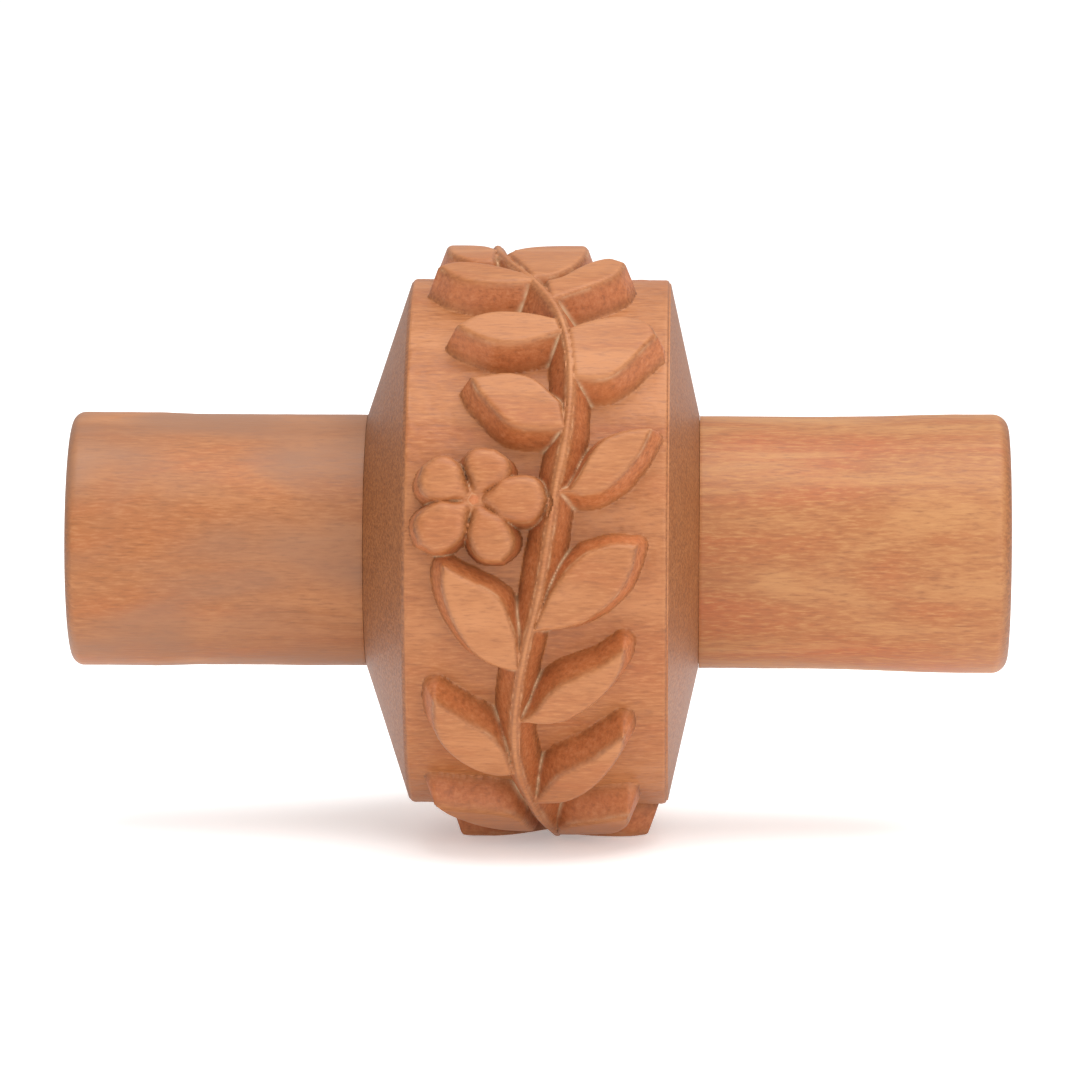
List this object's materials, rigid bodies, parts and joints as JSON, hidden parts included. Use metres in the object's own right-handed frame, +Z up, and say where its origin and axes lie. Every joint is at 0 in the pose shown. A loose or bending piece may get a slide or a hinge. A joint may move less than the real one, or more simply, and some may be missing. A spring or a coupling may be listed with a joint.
{
  "type": "textured pattern roller",
  "caption": "Small hardwood hand roller: a wheel with a vine, leaves and flowers in relief turns on a spindle between two round grips.",
  "frame": {"origin": "on the spindle's axis, in the middle of the roller's length and of the band", "axes": "+X along the spindle to the plainer right grip, +Y away from the person using it, +Z up; the roller stands on its wheel with the grips clear of the table"},
  "size_m": [0.0702, 0.0444, 0.0443],
  "materials": {
    "wheel_wood": "satin",
    "grip_left_wood": "satin",
    "grip_right_wood": "satin",
    "rod_steel": "satin"
  },
  "bodies": {
    "grips": {"spindle": "rod_steel", "handle_left": "grip_left_wood", "handle_right": "grip_right_wood"},
    "wheel": {"pattern_wheel": "wheel_wood"}
  },
  "joints": [
    {"name": "wheel_spin", "type": "hinge", "parent": "grips", "child": "wheel", "pos_m": [0, 0, 0], "axis": [1, 0, 0], "continuous": true}
  ]
}
